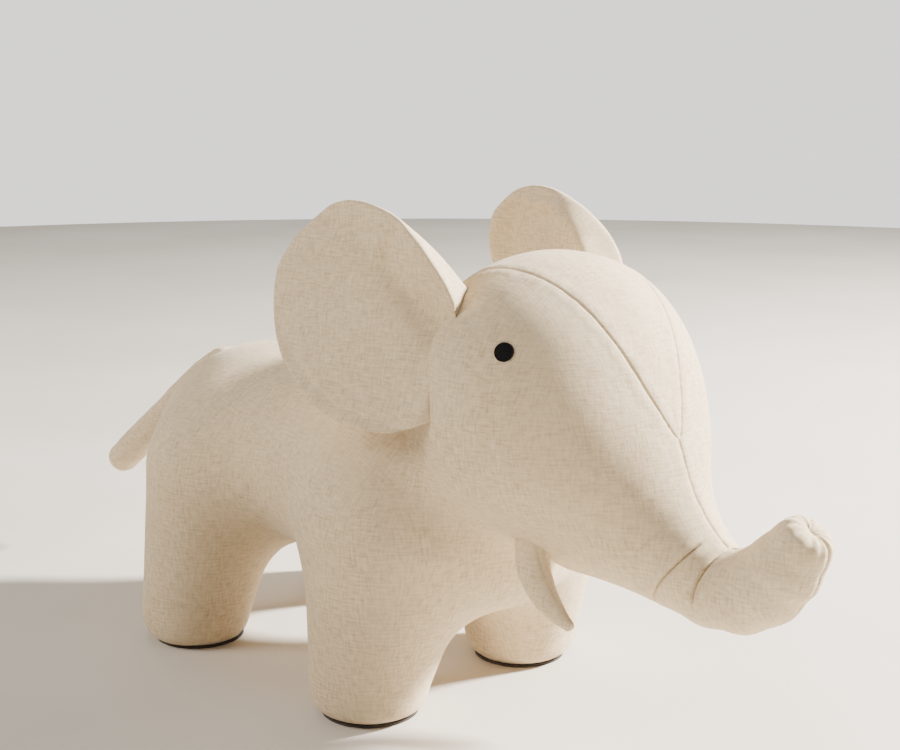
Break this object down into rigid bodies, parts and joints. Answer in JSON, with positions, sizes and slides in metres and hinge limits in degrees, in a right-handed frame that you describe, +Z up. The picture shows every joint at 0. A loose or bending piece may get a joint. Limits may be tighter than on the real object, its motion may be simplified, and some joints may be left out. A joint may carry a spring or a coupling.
{
  "type": "stuffed elephant",
  "caption": "Standing stuffed elephant sewn from plain linen-look cloth, with round flared ears, a curled trunk, small stuffed tusks, stitched eyes and a hanging tail.",
  "frame": {"origin": "on the floor, at the middle of the bounding box seen from above", "axes": "+X towards the trunk, +Y to the elephant's left, +Z up"},
  "size_m": [0.8049, 0.2932, 0.3709],
  "materials": {
    "linen": "matte woven cloth with fine slubs",
    "filling": "polyester fibre",
    "sole": "dark felt",
    "eye_thread": "satin stitch thread",
    "board": "stiff pressed board",
    "steel": "plain rod"
  },
  "bodies": {
    "torso": {"sole_front_right": "sole", "foot_board_front_right": "board", "leg_filling_front_right": "filling", "sole_front_left": "sole", "foot_board_front_left": "board", "leg_filling_front_left": "filling", "sole_hind_right": "sole", "foot_board_hind_right": "board", "leg_filling_hind_right": "filling", "sole_hind_left": "sole", "foot_board_hind_left": "board", "leg_filling_hind_left": "filling", "body_side_right": "linen", "head_side_right": "linen", "eye_right": "eye_thread", "body_side_left": "linen", "head_side_left": "linen", "eye_left": "eye_thread", "belly_gusset": "linen", "forehead_gusset": "linen", "torso_filling": "filling", "head_filling": "filling", "frame_spine": "steel", "frame_front_arch": "steel", "frame_rear_arch": "steel"},
    "ear_right": {"ear_front_right": "linen", "ear_back_right": "linen", "ear_padding_right": "filling"},
    "ear_left": {"ear_front_left": "linen", "ear_back_left": "linen", "ear_padding_left": "filling"},
    "tusk_right": {"tusk_cover_right": "linen", "tusk_filling_right": "filling"},
    "tusk_left": {"tusk_cover_left": "linen", "tusk_filling_left": "filling"},
    "trunk": {"trunk_right": "linen", "trunk_left": "linen", "trunk_tip_patch": "linen", "trunk_filling": "filling"},
    "tail_root": {"tail_tab": "linen"},
    "tail": {"tail_cover": "linen", "tail_filling": "filling"}
  },
  "joints": [
    {"name": "ear_right_swing", "type": "hinge", "parent": "torso", "child": "ear_right", "pos_m": [0.171, -0.117, 0.238], "axis": [0, 0.2707, 0.9627], "range_deg": [-8, 50], "stiffness_Nm_per_rad": 0.6},
    {"name": "ear_left_swing", "type": "hinge", "parent": "torso", "child": "ear_left", "pos_m": [0.171, 0.117, 0.238], "axis": [0, 0.2707, -0.9627], "range_deg": [-8, 50], "stiffness_Nm_per_rad": 0.6},
    {"name": "tusk_right_swing", "type": "hinge", "parent": "torso", "child": "tusk_right", "pos_m": [0.214, -0.062, 0.147], "axis": [0, -1, 0], "range_deg": [-10, 12], "stiffness_Nm_per_rad": 0.2},
    {"name": "tusk_left_swing", "type": "hinge", "parent": "torso", "child": "tusk_left", "pos_m": [0.214, 0.062, 0.147], "axis": [0, -1, 0], "range_deg": [-10, 12], "stiffness_Nm_per_rad": 0.2},
    {"name": "trunk_lift", "type": "hinge", "parent": "torso", "child": "trunk", "pos_m": [0.324, 0, 0.139], "axis": [0, -1, 0], "range_deg": [-10, 12], "stiffness_Nm_per_rad": 4},
    {"name": "tail_lift", "type": "hinge", "parent": "torso", "child": "tail_root", "pos_m": [-0.207, 0, 0.2255], "axis": [0, 1, 0], "range_deg": [-2, 50], "stiffness_Nm_per_rad": 3},
    {"name": "tail_sway", "type": "hinge", "parent": "tail_root", "child": "tail", "pos_m": [-0.22554, 0, 0.21189], "axis": [-0.5919, 0, 0.806], "range_deg": [-30, 30], "stiffness_Nm_per_rad": 1}
  ]
}
